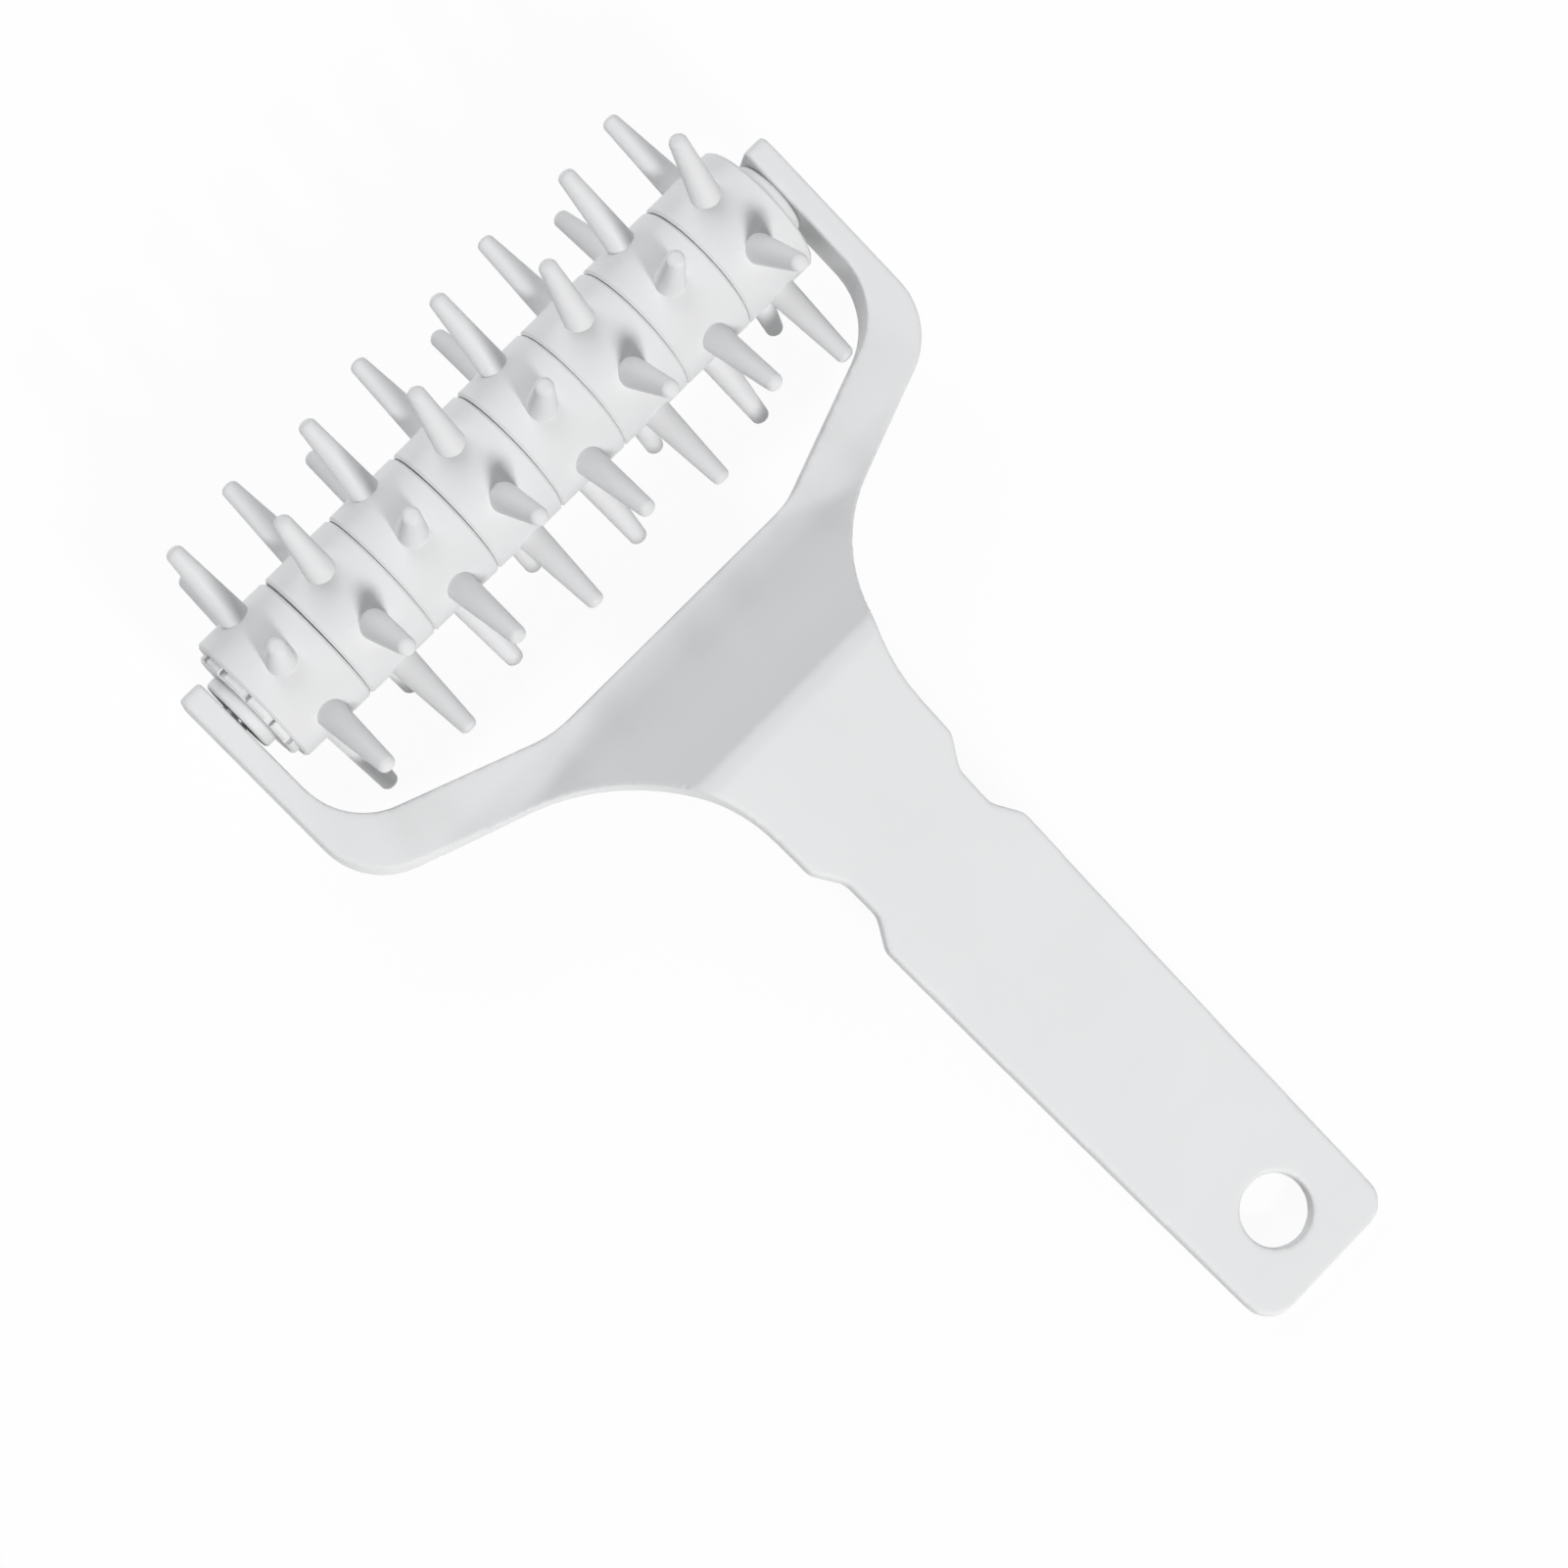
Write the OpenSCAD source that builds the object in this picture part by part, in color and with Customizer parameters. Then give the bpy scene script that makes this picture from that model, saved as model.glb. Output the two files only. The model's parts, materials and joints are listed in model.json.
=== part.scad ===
// Dough docker: eight spiked rings on an axle, carried in a forked handle moulded in one piece.
// The fork is drawn in its mould's frame: roller axis along X through the origin, handle towards -Y,
// and its side walls along Z. Its side view follows the arms, which fall towards the handle there.
// The whole tool is then set down on its spikes and on the end of its handle.

/* [Spiked rings] */
// Number of spiked rings on the roller
ring_count = 8; // [6:1:10]
// Width of one ring along the axle
ring_w = 13.5; // [11:0.5:18]
// Outside diameter of a ring's body
ring_d = 23.2; // [22:0.2:27]
// Number of spikes round each ring
spike_count = 6; // [4:1:6]
// Length of a spike above the body of its ring
spike_len = 14.4; // [10:0.2:16]
// Diameter of a spike above its root fillet
spike_root_d = 4.9; // [4:0.1:6]
// Diameter of a spike at its tip
spike_tip_d = 2.8; // [2:0.1:3.6]
// Radius round the end of a spike
spike_end_r = 1; // [0.4:0.1:1]
// Radius of the fillet at the root of a spike
spike_fillet_r = 0.6; // [0.3:0.1:1]
// Turn of the roller, from a spike straight up towards the handle
roller_turn = 9.1; // [-15:0.1:15]
// Wall of a ring under its spikes
ring_wall = 2.4; // [2:0.1:2.8]
// Thickness of the web that closes a ring
ring_web = 2.2; // [1.6:0.1:3]
// Wall of a ring's hub round the axle
hub_wall = 1.7; // [1.2:0.1:2.2]
// Break of a ring's outer edges, which shows as a seam between rings
ring_edge = 0.4; // [0.1:0.05:0.5]

/* [Toothed collars between rings] */
// Diameter of the toothed collar
collar_d = 19.9; // [18.5:0.1:20]
// Length of the collar out of its ring
collar_len = 1.2; // [1:0.1:2.4]
// Depth of the slots between the teeth
tooth_h = 0.8; // [0.5:0.1:0.8]
// Width of the key that fits each slot
key_w = 1.3; // [0.8:0.1:1.8]
// Room all round a collar in the next ring's socket
collar_fit = 0.12; // [0.08:0.01:0.2]

/* [Axle and spacers] */
// Diameter of the axle
axle_d = 5; // [4:0.1:6]
// Running clearance of the rings round the axle, on the radius
axle_fit = 0.08; // [0.03:0.01:0.1]
// Seat clearance of the axle in the arms, on the radius
axle_seat_fit = 0.02; // [0.01:0.01:0.05]
// How far each end of the axle lies below the arm's outer face
axle_recess = 0.4; // [0.2:0.1:1]
// Break at the ends of the axle
axle_chamfer = 0.5; // [0.2:0.1:0.8]
// Outside diameter of the spacers at the ends of the roller
spacer_d = 12.9; // [11:0.1:14]
// Length of the left spacer, against the collar
spacer_left_len = 1.7; // [1:0.1:3]
// How far the right spacer stands out of the last ring
spacer_right_out = 2.6; // [1:0.1:4]
// Gap between the left spacer and the arm beside it
gap_left = 0.9; // [0.3:0.1:1.2]
// Gap between the right spacer and the arm beside it
gap_right = 0.3; // [0.3:0.1:1.2]

/* [Fork] */
// Thickness of an arm
arm_t = 4.1; // [3.4:0.1:5]
// Depth of the arms and of the yoke
arm_depth = 11.5; // [10:0.5:14]
// Fall of the arms towards the handle, against the direction of the side walls, in degrees
arm_fall = 6.5; // [0:0.5:9]
// Length of an arm in front of the axle
arm_front = 7.1; // [5.5:0.1:9]
// Radius of the arms' front corners, seen from the side
arm_nose_r = 1.8; // [1:0.1:4]
// Distance from the axle back to the inner face of the crossbar
window_back = 35.1; // [31:0.1:40]
// Half the length of the straight part of the crossbar
crossbar_half = 25.4; // [20:0.2:30]
// Fall of the yoke's shoulders towards the handle, in degrees
shoulder_angle = 20; // [15:0.5:23]
// Width of the yoke's shoulders
shoulder_w = 9; // [7.5:0.1:12]
// Radius of the bend from an arm into a shoulder
bend_r = 12.2; // [9:0.1:14]
// Radius of the curve from a shoulder into the handle
neck_r = 32; // [18:0.5:34]
// Radius of the bend where the crossbar meets a shoulder
crossbar_bend_r = 18; // [6:1:24]

/* [Handle] */
// Distance from the axle to the end of the handle
grip_back = 173.4; // [150:0.1:190]
// Width of the handle where its tapering sides, carried on, reach the crossbar
grip_neck_w = 31.2; // [28:0.2:34]
// Width of the handle at its end
grip_end_w = 26.2; // [24:0.2:28]
// Thickness of the handle
grip_t = 4; // [3.4:0.1:6]
// Height of the handle's top above the axle, square to the arms
grip_top = 28.6; // [22:0.1:32]
// How far the middle of the handle dips below its ends
grip_dip = 2.2; // [0:0.1:4]
// Slope of the ramp up to the handle, in degrees
ramp_angle = 55; // [45:1:60]
// Distance from the axle to the foot of the ramp
ramp_foot = 38.2; // [36.5:0.1:42]
// Radius at the foot of the ramp
ramp_foot_r = 8; // [3:0.5:8]
// Radius at the top of the ramp
ramp_top_r = 4; // [1.5:0.5:5]
// Radius at the end corners of the handle
grip_corner_r = 4.2; // [2:0.1:8]
// Distance from the axle to the middle of the finger notches
notch_back = 84.9; // [82:0.1:100]
// Length of a finger notch at the edge
notch_len = 16; // [12:0.5:24]
// Length of the straight bottom of a finger notch
notch_floor = 6.8; // [4:0.2:9]
// Depth of a finger notch
notch_depth = 2.8; // [1.5:0.1:4]
// Radius of the finger notches' corners
notch_r = 3; // [1:0.5:4]
// Diameter of the hanging hole
hole_d = 11.2; // [6:0.2:13]
// Distance from the hanging hole's centre to the end of the handle
hole_edge = 11.6; // [9:0.1:16]

/* [Underside of the yoke] */
// Wall left round the hollows under the yoke
core_wall = 2.6; // [2:0.1:3.2]
// Skin left above the hollows under the yoke
core_skin = 3; // [2.4:0.1:4]
// Thickness of the ribs between the hollows
rib_t = 2; // [1.4:0.1:3]
// Spacing of the ribs
rib_pitch = 12.5; // [10:0.5:16]

/* [Hidden] */

// Finish of the moulded parts and of the axle
plastic = [0.93, 0.93, 0.94];
steel = [0.72, 0.73, 0.75];
// Overrun of every cut past the face it opens
cut = 1;
// Sweep of one facet on a drawn curve, in degrees, and on a curve tighter than the small radius
arc_step = 4;
small_arc_step = 12;
small_r = 1.5;
// Facets of the turned forms
turned_fn = 72;
spike_fn = 24;

// Radii of the roller's parts
ring_r = ring_d / 2;
collar_r = collar_d / 2;
axle_r = axle_d / 2;
spacer_r = spacer_d / 2;
spike_root_r = spike_root_d / 2;
spike_tip_r = spike_tip_d / 2;
bore_r = axle_r + axle_fit;
hub_r = bore_r + hub_wall;
core_r = ring_r - ring_wall;
socket_r = collar_r + collar_fit;
socket_depth = collar_len + collar_fit;
spike_reach = ring_r + spike_len;

// Foot of a spike's root fillet, just below the ring's body beside it
flare_sink = 0.1;
flare_r = spike_root_r + spike_fillet_r;
flare_z = sqrt(pow(ring_r, 2) - pow(flare_r, 2)) - flare_sink;
spike_taper = atan((spike_root_r - spike_tip_r) / (spike_reach - flare_z));

// Stack of pieces between the arms, from left to right
roller_len = ring_count * ring_w;
gaps = gap_left + gap_right;
window_w = gaps + spacer_left_len + collar_len + roller_len + spacer_right_out;
fork_w = window_w + 2 * arm_t;
spacer_left_x = gap_left - window_w / 2;
roller_x = spacer_left_x + spacer_left_len + collar_len;
spacer_right_x = roller_x + roller_len - socket_depth;
axle_len = fork_w - 2 * axle_recess;

// How far the keys lie below the right face of their ring, and are rooted in its wall
key_sink = 0.3;

// A ring can be keyed on the next one in steps of half the spacing of its spikes
tooth_count = 2 * spike_count;
stagger = 180 / spike_count;

// Side view of the handle, whose distances behind the axle run along the arms
arm_top = arm_depth / 2;
ramp_run = (grip_top - arm_top) / tan(ramp_angle);
grip_front = ramp_foot + ramp_run;
grip_end = (grip_back - grip_top * sin(arm_fall)) / cos(arm_fall);
grip_half = (grip_end - grip_front) / 2;
grip_mid = (grip_end + grip_front) / 2;
// The side view runs on past the end of the handle, which the plan view cuts off
grip_far = grip_end + grip_t;
// Steps of the handle's gentle curve
grip_steps = 10;
// Radii under the ramp, at its foot and where it meets the handle
under_foot_r = 5;
under_top_r = 10;

// Points along the arc that rounds corner b, between its neighbours a and c
function unit(v) = v / norm(v);
function turn_from(a0, a1) = (a1 - a0 + 540) % 360 - 180;
function round_corner(a, b, c, r) =
    let (
        u = unit(a - b),
        v = unit(c - b),
        half = acos(u * v) / 2,
        centre = b + unit(u + v) * r / sin(half),
        start = b + u * r / tan(half) - centre,
        stop = b + v * r / tan(half) - centre,
        a0 = atan2(start.y, start.x),
        sweep = turn_from(a0, atan2(stop.y, stop.x)),
        n = ceil(abs(sweep) / (r < small_r ? small_arc_step : arc_step))
    )
    [for (k = [0 : n]) centre + r * [cos(a0 + sweep * k / n), sin(a0 + sweep * k / n)]];

// Closed outline through corners [x, y, radius]; a corner of radius zero stays as it is
function flat(p) = [p.x, p.y];
function rounded(corners) =
    let (n = len(corners))
    [
        for (i = [0 : n - 1])
            let (b = corners[i])
            each b.z == 0
                ? [flat(b)]
                : round_corner(flat(corners[(i + n - 1) % n]), flat(b), flat(corners[(i + 1) % n]), b.z)
    ];
function mirrored(corners) =
    [for (i = [len(corners) - 1 : -1 : 0]) [-corners[i].x, corners[i].y, corners[i].z]];

// Height of the handle's top at a distance behind the axle
function grip_share(back) = (back - grip_mid) / grip_half;
function grip_z(back) = grip_top - grip_dip * (1 - pow(grip_share(back), 2));
function step_back(k) = grip_front + (grip_far - grip_front) * k / grip_steps;
// Half width of the handle, which tapers towards its end
function grip_half_w(back) =
    (grip_neck_w + (grip_end_w - grip_neck_w) * (back - window_back) / (grip_back - window_back)) / 2;

// Pose at rest: the lowest spike tips and the lower edge of the handle's end touch the table
tip_reach = spike_reach - spike_end_r;
tip_flat = spike_tip_r + spike_end_r * (tan(spike_taper) - 1 / cos(spike_taper));
front_turn = abs((90 + roller_turn + stagger / 2) % stagger - stagger / 2);
axle_height = tip_reach * cos(roller_turn) + tip_flat * abs(sin(roller_turn)) + spike_end_r;
front_reach = tip_reach * cos(front_turn) + tip_flat * sin(front_turn) + spike_end_r;
last_back = step_back(grip_steps - 1);
last_rise = (grip_z(grip_far) - grip_z(last_back)) / (grip_far - last_back);
// Height of the end face at a depth below the handle's top
function end_height(depth) =
    let (
        start = grip_z(grip_far) - grip_far * last_rise - depth,
        back = (grip_back - start * sin(arm_fall)) / (cos(arm_fall) + last_rise * sin(arm_fall))
    )
    (start + last_rise * back) * cos(arm_fall) - back * sin(arm_fall);
heel_z = end_height(grip_t);
rest_tilt = atan2(heel_z, grip_back) + asin(axle_height / norm([grip_back, heel_z]));
back_reach = grip_back * cos(rest_tilt) + end_height(0) * sin(rest_tilt);
axle_y = (back_reach - front_reach) / 2;

// Plan view of the fork and handle
shoulder_drop = shoulder_w / cos(shoulder_angle);
arm_in = window_w / 2;
arm_out = fork_w / 2;
bend_in_back = window_back - (arm_in - crossbar_half) * tan(shoulder_angle);
bend_out_back = window_back + shoulder_drop - (arm_out - crossbar_half) * tan(shoulder_angle);
neck_w = grip_half_w(window_back + shoulder_drop);
neck_back = window_back + shoulder_drop + (crossbar_half - neck_w) * tan(shoulder_angle);
notch_front = notch_back - notch_len / 2;
notch_rear = notch_back + notch_len / 2;
notch_floor_front = notch_back - notch_floor / 2;
notch_floor_rear = notch_back + notch_floor / 2;
outer_corners = [
    [arm_in, arm_front + cut, 0],
    [arm_out, arm_front + cut, 0],
    [arm_out, -bend_out_back, bend_r],
    [neck_w, -neck_back, neck_r],
    [grip_half_w(notch_front), -notch_front, notch_r],
    [grip_half_w(notch_floor_front) - notch_depth, -notch_floor_front, notch_r],
    [grip_half_w(notch_floor_rear) - notch_depth, -notch_floor_rear, notch_r],
    [grip_half_w(notch_rear), -notch_rear, notch_r],
    [grip_half_w(grip_back), -grip_back, grip_corner_r]
];
inner_corners = [
    [crossbar_half, -window_back, crossbar_bend_r],
    [arm_in, -bend_in_back, bend_r]
];
module fork_plan()
{
    polygon(rounded(concat(
        outer_corners, mirrored(outer_corners), mirrored(inner_corners), inner_corners
    )));
}

// Side view of the fork and handle: x is the distance towards the front, y the height
grip_top_line = [for (k = [1 : grip_steps]) [-step_back(k), grip_z(step_back(k)), 0]];
grip_under_line = [for (k = [grip_steps : -1 : 2]) grip_top_line[k - 1] - [0, grip_t, 0]];
under_back = ramp_foot + (grip_top - grip_t + arm_top) / tan(ramp_angle);
// The arms' front ends stand along the side walls
nose_lean = arm_top * tan(arm_fall);
nose_front = arm_front / cos(arm_fall);
top_corners = concat(
    [
        [nose_front + nose_lean, arm_top, arm_nose_r],
        [-ramp_foot, arm_top, ramp_foot_r],
        [-grip_front, grip_top, ramp_top_r]
    ],
    grip_top_line
);
under_corners = concat(
    grip_under_line,
    [
        [-under_back, grip_z(under_back) - grip_t, under_top_r],
        [-ramp_foot, -arm_top, under_foot_r],
        [nose_front - nose_lean, -arm_top, arm_nose_r]
    ]
);
module fork_side()
{
    polygon(rounded(concat(top_corners, under_corners)));
}

// A side view extruded across the whole fork, turned to follow the arms
module across(width)
{
    rotate([90, 0, 90])
        linear_extrude(width, center = true)
            rotate(arm_fall)
                children();
}

// Fork and handle before the holes and hollows are cut
module handle_body()
{
    intersection() {
        linear_extrude(4 * grip_top, center = true)
            fork_plan();
        across(fork_w + 2 * cut)
            fork_side();
    }
}

// Hollows under the yoke, open below, with ribs left standing between them
core_back = grip_front - core_wall;
module yoke_hollows()
{
    intersection() {
        linear_extrude(4 * grip_top, center = true)
            difference() {
                offset(delta = -core_wall)
                    fork_plan();
                translate([-fork_w, -grip_back - core_back])
                    square([2 * fork_w, grip_back]);
                translate([-fork_w, -bend_in_back])
                    square([2 * fork_w, grip_back]);
                for (x = [-4 * rib_pitch : rib_pitch : 4 * rib_pitch])
                    translate([x - rib_t / 2, -grip_back])
                        square([rib_t, grip_back]);
            }
        across(fork_w)
            offset(delta = -core_skin)
                polygon(rounded(concat(
                    top_corners, [[-grip_back, -2 * grip_top, 0], [arm_front, -2 * grip_top, 0]]
                )));
    }
}

module axle_line(r, length)
{
    rotate([0, 90, 0])
        cylinder(r = r, h = length, center = true, $fn = turned_fn);
}

// Puts a piece drawn in the fork's frame where the tool stands on the table
module at_rest()
{
    translate([0, axle_y, axle_height])
        rotate([rest_tilt, 0, 0])
            children();
}

hole_back = grip_back - hole_edge;
module handle_frame()
{
    color(plastic)
        at_rest()
            difference() {
                handle_body();
                yoke_hollows();
                axle_line(axle_r + axle_seat_fit, fork_w + 2 * cut);
                translate([0, -hole_back, 0])
                    cylinder(d = hole_d, h = 2 * grip_top, center = true, $fn = turned_fn);
            }
}

module axle()
{
    color(steel)
        at_rest()
            rotate([0, 90, 0])
                rotate_extrude($fn = turned_fn)
                    polygon([
                        [0, -axle_len / 2],
                        [axle_r - axle_chamfer, -axle_len / 2],
                        [axle_r, axle_chamfer - axle_len / 2],
                        [axle_r, axle_len / 2 - axle_chamfer],
                        [axle_r - axle_chamfer, axle_len / 2],
                        [0, axle_len / 2]
                    ]);
}

// Tube along X from x, turned from a profile of [distance along the tube, radius]
module turned(x, profile)
{
    translate([x, 0, 0])
        rotate([90, 0, 90])
            rotate_extrude($fn = turned_fn)
                polygon([for (p = profile) [p.y, p.x]]);
}

module spacer(x, length)
{
    color(plastic)
        translate([0, axle_y, axle_height])
            turned(x, [
                [0, bore_r],
                [0, spacer_r - ring_edge],
                [ring_edge, spacer_r],
                [length - ring_edge, spacer_r],
                [length, spacer_r - ring_edge],
                [length, bore_r]
            ]);
}

// Spike standing along +Z from inside the wall of its ring
module spike()
{
    base_z = ring_r - ring_wall / 2;
    rotate_extrude($fn = spike_fn)
        polygon(rounded([
            [0, base_z, 0],
            [flare_r, base_z, 0],
            [flare_r, flare_z, 0],
            [spike_root_r, flare_z, spike_fillet_r],
            [spike_tip_r, spike_reach, spike_end_r],
            [0, spike_reach, 0]
        ]));
}

// Places things at every slot of a toothed collar
module round_teeth()
{
    for (k = [0 : tooth_count - 1])
        rotate([k * 360 / tooth_count, 0, 0])
            children();
}

// One ring, with its left face at the origin: a toothed collar stands out on the left,
// and a socket with matching keys is open on the right
module ring_body()
{
    difference() {
        turned(0, [
            [-collar_len, bore_r],
            [-collar_len, collar_r - ring_edge],
            [ring_edge - collar_len, collar_r],
            [0, collar_r],
            [0, ring_r - ring_edge],
            [ring_edge, ring_r],
            [ring_w - ring_edge, ring_r],
            [ring_w, ring_r - ring_edge],
            [ring_w, socket_r],
            [ring_w - socket_depth, socket_r],
            [ring_w - socket_depth, core_r],
            [ring_web, core_r],
            [ring_web, hub_r],
            [ring_w - socket_depth, hub_r],
            [ring_w - socket_depth, bore_r]
        ]);
        round_teeth()
            translate([-collar_len - cut, -key_w / 2 - collar_fit, collar_r - tooth_h])
                cube([collar_len + cut, key_w + 2 * collar_fit, ring_wall]);
    }
    round_teeth()
        translate([ring_w - socket_depth - key_sink, -key_w / 2, socket_r - tooth_h])
            cube([socket_depth, key_w, tooth_h + (ring_r - socket_r) / 2]);
    for (k = [0 : spike_count - 1])
        translate([ring_w / 2, 0, 0])
            rotate([k * 360 / spike_count, 0, 0])
                spike();
}

// Rings with an even number are keyed half a step round from their neighbours
module ring(number)
{
    color(plastic)
        translate([roller_x + (number - 1) * ring_w, axle_y, axle_height])
            rotate([roller_turn + stagger * ((number + 1) % 2), 0, 0])
                ring_body();
}

handle_frame();
axle();
spacer(spacer_left_x, spacer_left_len);  // spacer_left
spacer(spacer_right_x, socket_depth + spacer_right_out);  // spacer_right
for (i = [1 : ring_count])
    ring(i);
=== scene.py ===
"""Looks of a dough docker: a spiked roller that turns in a forked plastic handle."""

import json
from math import radians

import bpy
from bpy.props import FloatProperty, FloatVectorProperty, IntProperty, PointerProperty
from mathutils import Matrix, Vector


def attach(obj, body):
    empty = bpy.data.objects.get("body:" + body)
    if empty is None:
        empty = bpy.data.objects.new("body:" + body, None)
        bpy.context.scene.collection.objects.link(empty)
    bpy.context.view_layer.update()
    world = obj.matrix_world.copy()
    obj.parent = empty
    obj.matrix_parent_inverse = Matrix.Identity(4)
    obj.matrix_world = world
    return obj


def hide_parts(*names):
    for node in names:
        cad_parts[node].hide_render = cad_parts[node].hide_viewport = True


bl_info = {
    "name": "Dough docker",
    "version": (1, 0, 0),
    "blender": (4, 5, 0),
    "location": "View3D > Sidebar > Dough docker",
    "description": "Dresses the packed frame of a dough docker and sets its stage",
    "category": "Object",
}

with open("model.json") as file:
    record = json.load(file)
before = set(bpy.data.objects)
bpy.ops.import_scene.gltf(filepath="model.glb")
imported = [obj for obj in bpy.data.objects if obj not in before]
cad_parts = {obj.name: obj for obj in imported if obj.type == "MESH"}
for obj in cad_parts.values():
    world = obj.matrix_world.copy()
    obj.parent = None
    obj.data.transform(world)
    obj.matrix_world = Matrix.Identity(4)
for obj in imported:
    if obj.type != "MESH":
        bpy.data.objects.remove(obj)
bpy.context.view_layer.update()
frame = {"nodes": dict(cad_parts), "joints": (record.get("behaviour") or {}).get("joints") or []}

RINGS = sorted(name for name in frame["nodes"] if name.startswith("ring_"))
SPACERS = ("spacer_left", "spacer_right")

WHITE_PLASTIC = (0.745, 0.747, 0.752)
PLASTIC_IOR = 1.5
HANDLE_ROUGHNESS = 0.52
RING_ROUGHNESS = 0.62
SPACER_ROUGHNESS = 0.6
# Noise in the skin of the plastic, as scale and detail
CLOUD_NOISE = (45, 3)
MARKS_NOISE = (900, 6)
PEEL_NOISE = (260, 2)
# How far the tone drifts, how deep the peel is and how far the marks change the roughness
CLOUD_SHARE = 0.03
PEEL_DEPTH = 0.00002
MARKS_RANGE = (-0.05, 0.07)

# Colour of the axle, darker than bare steel: painted shade, because the axle shows only in the
# narrow gaps beside the spacers
SHADE_DARKENED_AXLE_STEEL = (0.2, 0.205, 0.215)
# Noise in the axle's steel, stretched into fine lines along it
STEEL_NOISE = (60, 4)
STEEL_LINES = (1, 40, 40)
STEEL_ROUGHNESS = (0.22, 0.42)

# Places in metres, in the frame of the CAD
LAMP_AIM = (0, 0.03, 0.02)
KEY_PLACE = (-0.33, -1.65, 1.25)
KEY_SIZE = 0.3
FILL_PLACE = (0.1, 0.95, 0.85)
FILL_SIZE = 0.8
FILL_TINT = (0.96, 0.985, 1)
# Share of the floor that is seen as plain white, the rest takes the object's shadow
PAPER_GLOW = 0.94
FLOOR_ROUGHNESS = 0.9
# Millimetres, as the lens is
SENSOR_WIDTH = 36
CAMERA_CLIP = 0.01

# The left spacer is drawn this much nearer to its arm, where the photo shows a narrower gap
SPACER_STRETCH = 0.0004
# Rim of a ring's left face, seen from the end of its collar and from the axle
RIM_DEPTH = 0.0018
RIM_RADIUS = 0.0108
# How far the rim of each ring is drawn back from its neighbour, on the side away from the handle:
# some sit closer than others
RIM_GAPS = {
    "ring_2": 0.00042,
    "ring_3": 0.00022,
    "ring_4": 0.00034,
    "ring_5": 0.0003,
    "ring_6": 0.00022,
    "ring_7": 0.00024,
    "ring_8": 0.00034,
}
# Share of that gap on the side towards the handle
NEAR_SHARE = 0.25

# Vertices of the frame's meshes closer than this are one vertex
WELD = 1e-6
# Faces of the frame's meshes that turn less than this are one face
FLAT_TURN = radians(0.4)
# Edges of the rings and spacers that turn more than this stay crisp
CRISP_TURN = radians(35)
# Edges of the spacers that turn more than this are rounded, in so many steps
ROUNDED_TURN = radians(30)
ROUNDING_STEPS = 3
# How far each easing pass takes a point towards the middle of its neighbours
EASING_SHARE = 0.5


class HandleSettings(bpy.types.PropertyGroup):
    """Finish of the forked handle."""

    colour: FloatVectorProperty(
        name="Colour",
        description="Colour of the handle's plastic",
        subtype="COLOR",
        default=WHITE_PLASTIC,
        min=0,
        max=1,
    )
    grain: FloatProperty(
        name="Grain",
        description="Size of the fine mesh laid over the handle, which rounds its moulded edges",
        default=0.0003,
        min=0.0002,
        max=0.001,
        unit="LENGTH",
        precision=5,
    )
    easing: IntProperty(
        name="Easing",
        description="Passes that ease the handle's edges",
        default=16,
        min=1,
        max=20,
    )
    face_count: IntProperty(
        name="Faces",
        description="Triangles left on the handle",
        default=150000,
        min=20000,
        max=190000,
    )


class RollerSettings(bpy.types.PropertyGroup):
    """Finish of the rings, the spacers and the axle."""

    colour: FloatVectorProperty(
        name="Colour",
        description="Colour of the plastic of rings and spacers",
        subtype="COLOR",
        default=WHITE_PLASTIC,
        min=0,
        max=1,
    )
    edge_radius: FloatProperty(
        name="Edge radius",
        description="Radius round the edges of the spacers",
        default=0.00015,
        min=0.00005,
        max=0.0003,
        unit="LENGTH",
        precision=5,
    )
    # Darker than bare steel: painted shade for the gaps beside the spacers, where the axle shows
    steel: FloatVectorProperty(
        name="Steel",
        description="Colour of the axle",
        subtype="COLOR",
        default=SHADE_DARKENED_AXLE_STEEL,
        min=0,
        max=1,
    )


class StageSettings(bpy.types.PropertyGroup):
    """Camera, lamps and floor."""

    floor_colour: FloatVectorProperty(
        name="Floor",
        description="Colour of the floor",
        subtype="COLOR",
        default=(0.9, 0.9, 0.9),
        min=0,
        max=1,
    )
    floor_size: FloatProperty(
        name="Floor size",
        description="Width of the floor",
        default=6,
        min=1,
        unit="LENGTH",
    )
    camera_place: FloatVectorProperty(
        name="Camera place",
        description="Where the camera stands",
        default=(-0.08028, -0.08326, 0.56346),
        subtype="TRANSLATION",
        unit="LENGTH",
    )
    camera_turn: FloatVectorProperty(
        name="Camera turn",
        description="Pitch, roll and heading of the camera",
        default=(radians(9.5695), radians(-7.6255), radians(-45.111)),
        subtype="EULER",
    )
    lens: FloatProperty(
        name="Lens",
        description="Focal length of the camera in millimetres",
        default=85.335,
        min=20,
    )
    key_power: FloatProperty(
        name="Key lamp",
        description="Power of the small lamp behind the handle's end",
        default=32,
        min=0,
        unit="POWER",
    )
    fill_power: FloatProperty(
        name="Fill lamp",
        description="Power of the wide lamp in front of the roller",
        default=8.4,
        min=0,
        unit="POWER",
    )
    world_light: FloatProperty(
        name="World light",
        description="Strength of the even light all round",
        default=0.2,
        min=0,
    )


def deselect_all():
    bpy.ops.object.select_all(action="DESELECT")


def take(piece):
    """Selects one piece alone and makes it active."""
    deselect_all()
    piece.select_set(True)
    bpy.context.view_layer.objects.active = piece


def edit(piece):
    """Opens one piece in edit mode with everything selected."""
    take(piece)
    bpy.ops.object.mode_set(mode="EDIT")
    bpy.ops.mesh.select_all(action="SELECT")


def leave_edit():
    bpy.ops.object.mode_set(mode="OBJECT")


def apply_modifier(piece, kind, **values):
    """Adds a modifier with the given values and applies it."""
    take(piece)
    modifier = piece.modifiers.new(kind.title(), kind)
    for key, value in values.items():
        setattr(modifier, key, value)
    bpy.ops.object.modifier_apply(modifier=modifier.name)


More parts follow.
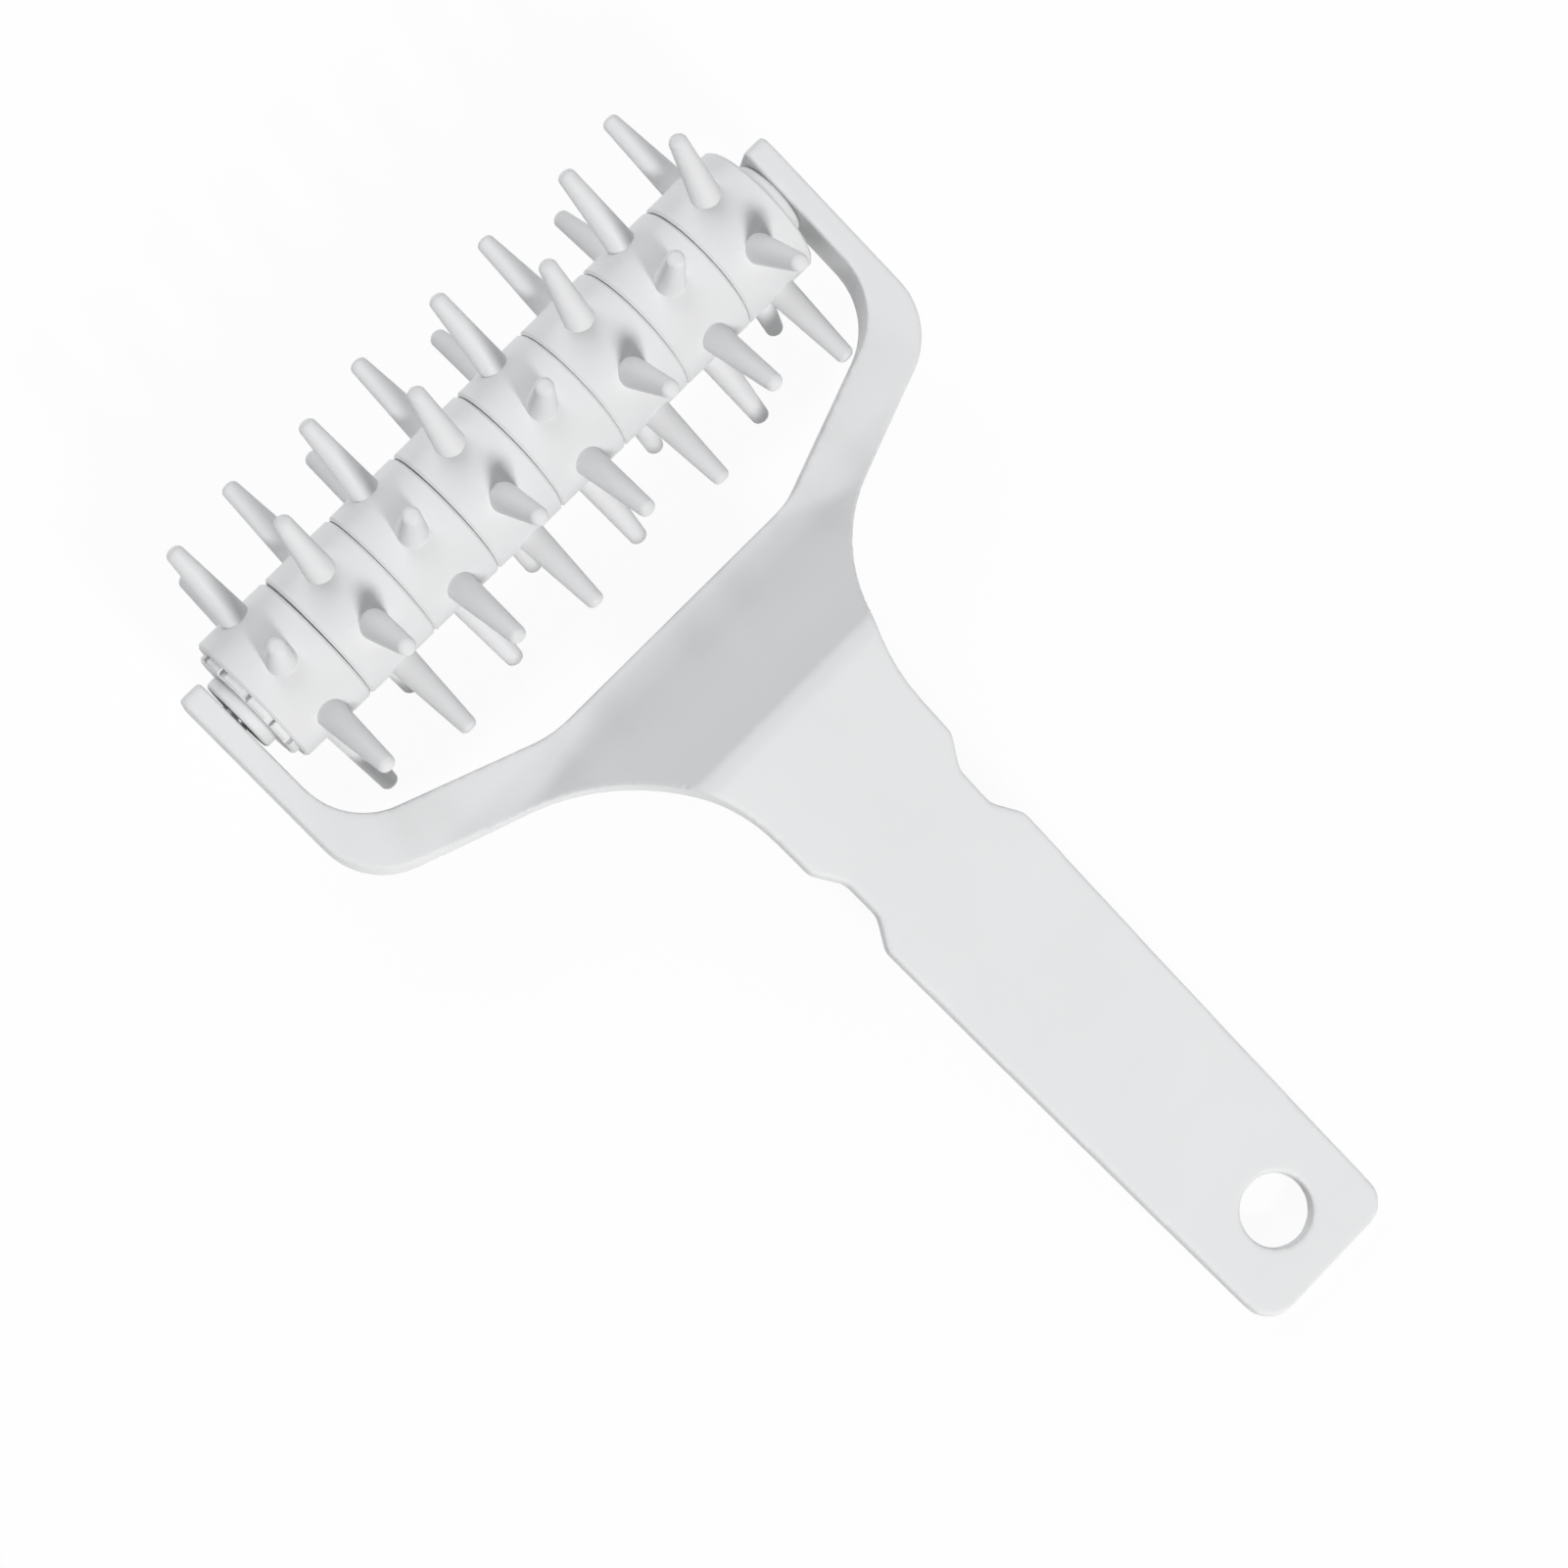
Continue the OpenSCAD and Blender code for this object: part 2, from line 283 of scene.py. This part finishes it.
def welded_copy(node, name):
    """Copies a node of the frame, with its loose triangles joined and its flat faces whole."""
    take(frame["nodes"][node])
    bpy.ops.object.duplicate()
    piece = bpy.context.view_layer.objects.active
    piece.name = name
    piece.data.materials.clear()
    if piece.data.has_custom_normals:
        bpy.ops.mesh.customdata_custom_splitnormals_clear()
    edit(piece)
    bpy.ops.mesh.remove_doubles(threshold=WELD)
    bpy.ops.mesh.dissolve_limited(angle_limit=FLAT_TURN)
    leave_edit()
    return piece


def draw_back_rim(ring, gap):
    """Draws the rim of a ring's left face back, most on the side away from the handle.

    The seam beside it then shows as a dark line that thins towards the handle.
    """
    left = min(vertex.co.x for vertex in ring.data.vertices)
    axle = Vector(frame["joints"][0]["pos_m"])
    group = ring.vertex_groups.new(name="rim")
    for vertex in ring.data.vertices:
        out = vertex.co - axle
        if vertex.co.x < left + RIM_DEPTH and out.yz.length > RIM_RADIUS:
            away = (1 + out.y / out.yz.length) / 2
            group.add([vertex.index], NEAR_SHARE + (1 - NEAR_SHARE) * away, "REPLACE")
    apply_modifier(ring, "DISPLACE", direction="X", strength=gap, mid_level=0, vertex_group="rim")
    ring.vertex_groups.clear()


def stretch_left(piece, by):
    """Moves the left half of a piece further to the left."""
    xs = [vertex.co.x for vertex in piece.data.vertices]
    middle = (min(xs) + max(xs)) / 2
    group = piece.vertex_groups.new(name="left")
    group.add([index for index, x in enumerate(xs) if x < middle], 1, "REPLACE")
    edit(piece)
    bpy.ops.mesh.select_all(action="DESELECT")
    bpy.ops.object.vertex_group_select()
    bpy.ops.transform.translate(value=(-by, 0, 0))
    leave_edit()
    piece.vertex_groups.clear()


def round_edges(piece, radius):
    """Rounds every edge that turns enough to show."""
    apply_modifier(
        piece,
        "BEVEL",
        width=radius,
        segments=ROUNDING_STEPS,
        limit_method="ANGLE",
        angle_limit=ROUNDED_TURN,
        use_clamp_overlap=False,
        miter_outer="MITER_ARC",
        loop_slide=False,
    )


def soften(piece, grain, passes, face_count):
    """Lays a fine even mesh over a piece, eases its edges and thins the mesh where it is flat."""
    apply_modifier(piece, "REMESH", mode="VOXEL", voxel_size=grain)
    apply_modifier(piece, "SMOOTH", factor=EASING_SHARE, iterations=passes)
    triangles = sum(len(face.vertices) - 2 for face in piece.data.polygons)
    apply_modifier(piece, "DECIMATE", ratio=min(1, face_count / triangles))
    bpy.ops.object.shade_smooth()


def smooth(piece):
    """Shades a piece smoothly between its crisp edges."""
    take(piece)
    bpy.ops.object.shade_smooth_by_angle(angle=CRISP_TURN)


def new_material(name):
    """Makes a material with one plain shader, and gives both."""
    material = bpy.data.materials.new(name)
    material.use_nodes = True
    nodes = material.node_tree.nodes
    nodes.clear()
    shader = nodes.new("ShaderNodeBsdfPrincipled")
    output = nodes.new("ShaderNodeOutputMaterial")
    material.node_tree.links.new(shader.outputs["BSDF"], output.inputs["Surface"])
    return material, shader


def noise(tree, place, scale, detail):
    """Adds a noise texture on object coordinates."""
    texture = tree.nodes.new("ShaderNodeTexNoise")
    texture.inputs["Scale"].default_value = scale
    texture.inputs["Detail"].default_value = detail
    tree.links.new(place, texture.inputs["Vector"])
    return texture.outputs["Fac"]


def spread(tree, value, low, high):
    """Maps a value between 0 and 1 to a narrow range."""
    remap = tree.nodes.new("ShaderNodeMapRange")
    remap.inputs["To Min"].default_value = low
    remap.inputs["To Max"].default_value = high
    tree.links.new(value, remap.inputs["Value"])
    return remap.outputs["Result"]


def moulded_surface_group():
    """Builds the skin of moulded plastic: cloudy tone, soft orange peel and fine handling marks."""
    group = bpy.data.node_groups.new("moulded_surface", "ShaderNodeTree")
    interface = group.interface
    interface.new_socket("Colour", in_out="INPUT", socket_type="NodeSocketColor")
    defaults = {"Roughness": RING_ROUGHNESS, "Cloud": CLOUD_SHARE, "Peel": PEEL_DEPTH}
    for name, value in defaults.items():
        socket = interface.new_socket(name, in_out="INPUT", socket_type="NodeSocketFloat")
        socket.default_value = value
    interface.new_socket("Colour", in_out="OUTPUT", socket_type="NodeSocketColor")
    interface.new_socket("Roughness", in_out="OUTPUT", socket_type="NodeSocketFloat")
    interface.new_socket("Normal", in_out="OUTPUT", socket_type="NodeSocketVector")

    nodes, links = group.nodes, group.links
    given = nodes.new("NodeGroupInput")
    result = nodes.new("NodeGroupOutput")
    place = nodes.new("ShaderNodeTexCoord").outputs["Object"]

    cloud = spread(group, noise(group, place, *CLOUD_NOISE), -1, 1)
    cloud_depth = nodes.new("ShaderNodeMath")
    cloud_depth.operation = "MULTIPLY_ADD"
    cloud_depth.inputs[2].default_value = 1
    links.new(cloud, cloud_depth.inputs[0])
    links.new(given.outputs["Cloud"], cloud_depth.inputs[1])
    tinted = nodes.new("ShaderNodeVectorMath")
    tinted.operation = "SCALE"
    links.new(given.outputs["Colour"], tinted.inputs[0])
    links.new(cloud_depth.outputs["Value"], tinted.inputs["Scale"])
    links.new(tinted.outputs["Vector"], result.inputs["Colour"])

    marks = spread(group, noise(group, place, *MARKS_NOISE), *MARKS_RANGE)
    rough = nodes.new("ShaderNodeMath")
    links.new(given.outputs["Roughness"], rough.inputs[0])
    links.new(marks, rough.inputs[1])
    links.new(rough.outputs["Value"], result.inputs["Roughness"])

    bump = nodes.new("ShaderNodeBump")
    bump.inputs["Strength"].default_value = 1
    links.new(given.outputs["Peel"], bump.inputs["Distance"])
    links.new(noise(group, place, *PEEL_NOISE), bump.inputs["Height"])
    links.new(bump.outputs["Normal"], result.inputs["Normal"])
    return group


def plastic(name, colour, roughness):
    """White moulded plastic with a soft sheen."""
    material, shader = new_material(name)
    tree = material.node_tree
    surface = tree.nodes.new("ShaderNodeGroup")
    surface.node_tree = bpy.data.node_groups.get("moulded_surface") or moulded_surface_group()
    surface.inputs["Colour"].default_value = (*colour, 1)
    surface.inputs["Roughness"].default_value = roughness
    tree.links.new(surface.outputs["Colour"], shader.inputs["Base Color"])
    tree.links.new(surface.outputs["Roughness"], shader.inputs["Roughness"])
    tree.links.new(surface.outputs["Normal"], shader.inputs["Normal"])
    shader.inputs["IOR"].default_value = PLASTIC_IOR
    return material


def dress(piece, material):
    piece.data.materials.clear()
    piece.data.materials.append(material)


class DOCKER_OT_handle(bpy.types.Operator):
    """Rounds the forked handle's edges and gives it its plastic"""

    bl_idname = "docker.handle"
    bl_label = "Forked handle"

    def execute(self, context):
        settings = context.scene.docker_handle
        handle = welded_copy("handle_frame", "forked_handle")
        soften(handle, settings.grain, settings.easing, settings.face_count)
        dress(handle, plastic("handle_plastic", settings.colour, HANDLE_ROUGHNESS))
        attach(handle, "frame")
        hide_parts("handle_frame")
        return {"FINISHED"}


class DOCKER_OT_rings(bpy.types.Operator):
    """Dresses the spiked rings"""

    bl_idname = "docker.rings"
    bl_label = "Spiked rings"

    def execute(self, context):
        settings = context.scene.docker_roller
        skin = plastic("ring_plastic", settings.colour, RING_ROUGHNESS)
        for name in RINGS:
            ring = welded_copy(name, f"spiked_{name}")
            if name in RIM_GAPS:
                draw_back_rim(ring, RIM_GAPS[name])
            smooth(ring)
            apply_modifier(ring, "WEIGHTED_NORMAL", keep_sharp=True)
            dress(ring, skin)
            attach(ring, "roller")
            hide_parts(name)
        return {"FINISHED"}


class DOCKER_OT_spacers(bpy.types.Operator):
    """Dresses the spacers at the ends of the roller"""

    bl_idname = "docker.spacers"
    bl_label = "Spacers"

    def execute(self, context):
        settings = context.scene.docker_roller
        skin = plastic("spacer_plastic", settings.colour, SPACER_ROUGHNESS)
        for name in SPACERS:
            spacer = welded_copy(name, f"turned_{name}")
            if name == "spacer_left":
                stretch_left(spacer, SPACER_STRETCH)
            round_edges(spacer, settings.edge_radius)
            smooth(spacer)
            dress(spacer, skin)
            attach(spacer, "roller")
            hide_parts(name)
        return {"FINISHED"}


class DOCKER_OT_axle(bpy.types.Operator):
    """Gives the axle its drawn steel, its colour darkened as painted shade for the gaps where it
    shows
    """

    bl_idname = "docker.axle"
    bl_label = "Axle"

    def execute(self, context):
        settings = context.scene.docker_roller
        material, shader = new_material("axle_steel_painted_shade")
        tree = material.node_tree
        shader.inputs["Base Color"].default_value = (*settings.steel, 1)
        shader.inputs["Metallic"].default_value = 1
        place = tree.nodes.new("ShaderNodeTexCoord").outputs["Object"]
        lines = tree.nodes.new("ShaderNodeMapping")
        lines.inputs["Scale"].default_value = STEEL_LINES
        tree.links.new(place, lines.inputs["Vector"])
        drawn = noise(tree, lines.outputs["Vector"], *STEEL_NOISE)
        tree.links.new(spread(tree, drawn, *STEEL_ROUGHNESS), shader.inputs["Roughness"])
        dress(frame["nodes"]["axle"], material)
        return {"FINISHED"}


def area_lamp(name, place, size, power):
    """Adds a square area lamp that points at the roller's side of the tool."""
    bpy.ops.object.light_add(type="AREA", location=place)
    lamp = bpy.context.view_layer.objects.active
    lamp.name = name
    lamp.data.size = size
    lamp.data.energy = power
    lamp.rotation_euler = (Vector(LAMP_AIM) - Vector(place)).to_track_quat("-Z", "Y").to_euler()
    return lamp


class DOCKER_OT_stage(bpy.types.Operator):
    """Adds the floor, the lamps and the camera"""

    bl_idname = "docker.stage"
    bl_label = "Stage"

    def execute(self, context):
        settings = context.scene.docker_stage
        deselect_all()
        bpy.ops.mesh.primitive_plane_add(size=settings.floor_size)
        floor = context.view_layer.objects.active
        floor.name = "floor"
        dress(floor, self.floor_material(settings.floor_colour))

        area_lamp("key_lamp", KEY_PLACE, KEY_SIZE, settings.key_power)
        fill = area_lamp("fill_lamp", FILL_PLACE, FILL_SIZE, settings.fill_power)
        fill.data.color = FILL_TINT
        self.even_world(context, settings.world_light)

        bpy.ops.object.camera_add(location=settings.camera_place)
        camera = context.view_layer.objects.active
        camera.rotation_mode = "ZYX"
        camera.rotation_euler = settings.camera_turn
        camera.data.lens = settings.lens
        camera.data.sensor_width = SENSOR_WIDTH
        camera.data.clip_start = CAMERA_CLIP
        context.scene.camera = camera
        context.scene.view_settings.view_transform = "Standard"
        return {"FINISHED"}

    def seen_rays(self, tree, low, high):
        """Gives the high value to rays that show a thing, and the low one to its light."""
        ray = tree.nodes.new("ShaderNodeLightPath")
        seen = ray.outputs["Is Camera Ray"]
        for kind in ("Is Glossy Ray", "Is Transmission Ray"):
            either = tree.nodes.new("ShaderNodeMath")
            either.operation = "MAXIMUM"
            tree.links.new(seen, either.inputs[0])
            tree.links.new(ray.outputs[kind], either.inputs[1])
            seen = either.outputs["Value"]
        return spread(tree, seen, low, high)

    def floor_material(self, colour):
        """Pale floor, seen as nearly white with a faint shadow, and seen through from below."""
        material, shader = new_material("floor_paper")
        tree = material.node_tree
        shader.inputs["Base Color"].default_value = (*colour, 1)
        shader.inputs["Roughness"].default_value = FLOOR_ROUGHNESS
        glow = tree.nodes.new("ShaderNodeEmission")
        paper = tree.nodes.new("ShaderNodeMixShader")
        tree.links.new(self.seen_rays(tree, 0, PAPER_GLOW), paper.inputs["Fac"])
        tree.links.new(shader.outputs["BSDF"], paper.inputs[1])
        tree.links.new(glow.outputs["Emission"], paper.inputs[2])
        place = tree.nodes.new("ShaderNodeNewGeometry")
        clear = tree.nodes.new("ShaderNodeBsdfTransparent")
        sides = tree.nodes.new("ShaderNodeMixShader")
        tree.links.new(place.outputs["Backfacing"], sides.inputs["Fac"])
        tree.links.new(paper.outputs["Shader"], sides.inputs[1])
        tree.links.new(clear.outputs["BSDF"], sides.inputs[2])
        output = next(node for node in tree.nodes if node.type == "OUTPUT_MATERIAL")
        tree.links.new(sides.outputs["Shader"], output.inputs["Surface"])
        return material

    def even_world(self, context, strength):
        """Even light all round, seen as white."""
        world = bpy.data.worlds.new("studio")
        world.use_nodes = True
        tree = world.node_tree
        background = tree.nodes["Background"]
        background.inputs["Color"].default_value = (1, 1, 1, 1)
        tree.links.new(self.seen_rays(tree, strength, 1), background.inputs["Strength"])
        context.scene.world = world


class DOCKER_PT_panel(bpy.types.Panel):
    """Lists the pieces and the stage"""

    bl_idname = "DOCKER_PT_panel"
    bl_label = "Dough docker"
    bl_space_type = "VIEW_3D"
    bl_region_type = "UI"
    bl_category = "Dough docker"

    def draw(self, context):
        for group, operators in SECTIONS:
            settings = getattr(context.scene, group)
            for name in settings.__annotations__:
                self.layout.prop(settings, name)
            for operator in operators:
                self.layout.operator(operator.bl_idname)


SECTIONS = (
    ("docker_handle", (DOCKER_OT_handle,)),
    ("docker_roller", (DOCKER_OT_rings, DOCKER_OT_spacers, DOCKER_OT_axle)),
    ("docker_stage", (DOCKER_OT_stage,)),
)
SETTINGS = {
    "docker_handle": HandleSettings,
    "docker_roller": RollerSettings,
    "docker_stage": StageSettings,
}
OPERATORS = tuple(operator for _, operators in SECTIONS for operator in operators)
CLASSES = (*SETTINGS.values(), *OPERATORS, DOCKER_PT_panel)


def register():
    for item in CLASSES:
        bpy.utils.register_class(item)
    for name, group in SETTINGS.items():
        setattr(bpy.types.Scene, name, PointerProperty(type=group))


def unregister():
    for name in SETTINGS:
        delattr(bpy.types.Scene, name)
    for item in reversed(CLASSES):
        bpy.utils.unregister_class(item)


def main():
    register()
    bpy.ops.docker.handle()
    bpy.ops.docker.rings()
    bpy.ops.docker.spacers()
    bpy.ops.docker.axle()
    bpy.ops.docker.stage()


if __name__ == "__main__":
    main()
